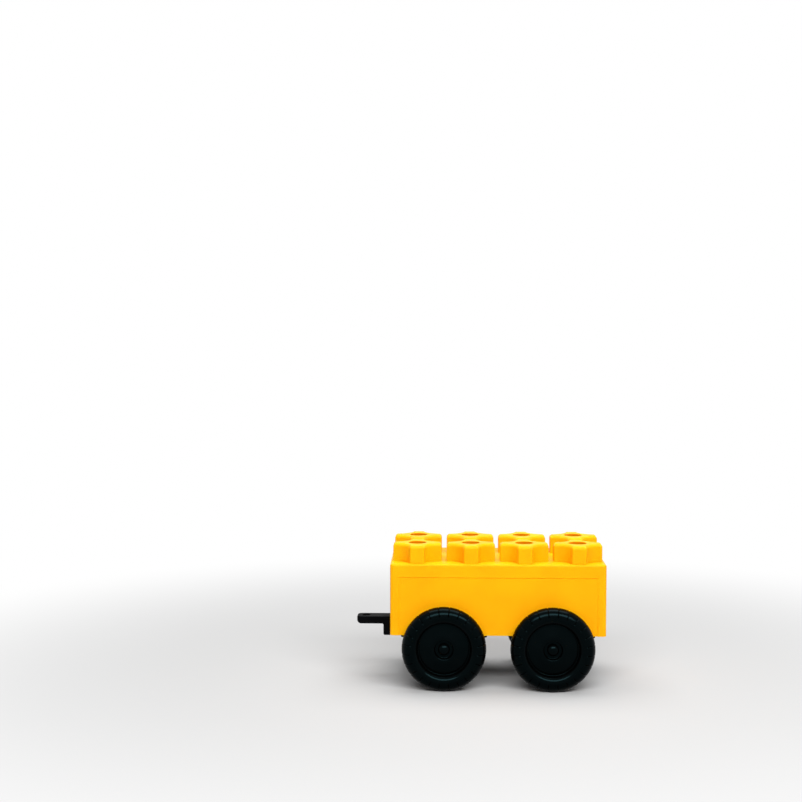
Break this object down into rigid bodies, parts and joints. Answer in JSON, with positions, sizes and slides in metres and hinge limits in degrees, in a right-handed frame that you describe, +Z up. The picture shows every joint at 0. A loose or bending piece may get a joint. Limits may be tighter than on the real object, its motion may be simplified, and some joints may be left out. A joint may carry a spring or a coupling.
{
  "type": "giant building block wagon",
  "caption": "Giant hollow building block with scooped, socketed studs on top, carried by plug-in axle carriers and free-turning wheels, with a tow eye at one end for coupling.",
  "frame": {"origin": "middle of the wagon's footprint on the ground, tow eye included", "axes": "+X along the block away from the tow eye, +Y across the axles, +Z up"},
  "size_m": [0.35, 0.207, 0.1985],
  "materials": {
    "yellow_plastic": "moulded polyethylene, warm yellow, soft gloss",
    "black_plastic": "moulded black plastic, satin",
    "wheel_plastic": "moulded black plastic, soft gloss",
    "spacer_plastic": "natural nylon",
    "steel": "bright drawn rod"
  },
  "bodies": {
    "wagon": {"block_shell": "yellow_plastic", "front_axle_carrier": "black_plastic", "rear_axle_carrier": "black_plastic", "front_axle": "steel", "rear_axle": "steel", "spacer_front_near": "spacer_plastic", "spacer_front_far": "spacer_plastic", "spacer_rear_near": "spacer_plastic", "spacer_rear_far": "spacer_plastic", "hub_cap_front_near": "wheel_plastic", "hub_cap_front_far": "wheel_plastic", "hub_cap_rear_near": "wheel_plastic", "hub_cap_rear_far": "wheel_plastic", "tow_bar": "black_plastic", "tow_bar_screws": "steel"},
    "front_near_wheel": {"wheel_front_near": "wheel_plastic"},
    "front_far_wheel": {"wheel_front_far": "wheel_plastic"},
    "rear_near_wheel": {"wheel_rear_near": "wheel_plastic"},
    "rear_far_wheel": {"wheel_rear_far": "wheel_plastic"}
  },
  "joints": [
    {"name": "front_near_wheel_spin", "type": "hinge", "parent": "wagon", "child": "front_near_wheel", "pos_m": [-0.05, -0.0905, 0.0585], "axis": [0, 1, 0], "continuous": true},
    {"name": "front_far_wheel_spin", "type": "hinge", "parent": "wagon", "child": "front_far_wheel", "pos_m": [-0.05, 0.0905, 0.0585], "axis": [0, 1, 0], "continuous": true},
    {"name": "rear_near_wheel_spin", "type": "hinge", "parent": "wagon", "child": "rear_near_wheel", "pos_m": [0.1, -0.0905, 0.0585], "axis": [0, 1, 0], "continuous": true},
    {"name": "rear_far_wheel_spin", "type": "hinge", "parent": "wagon", "child": "rear_far_wheel", "pos_m": [0.1, 0.0905, 0.0585], "axis": [0, 1, 0], "continuous": true}
  ]
}
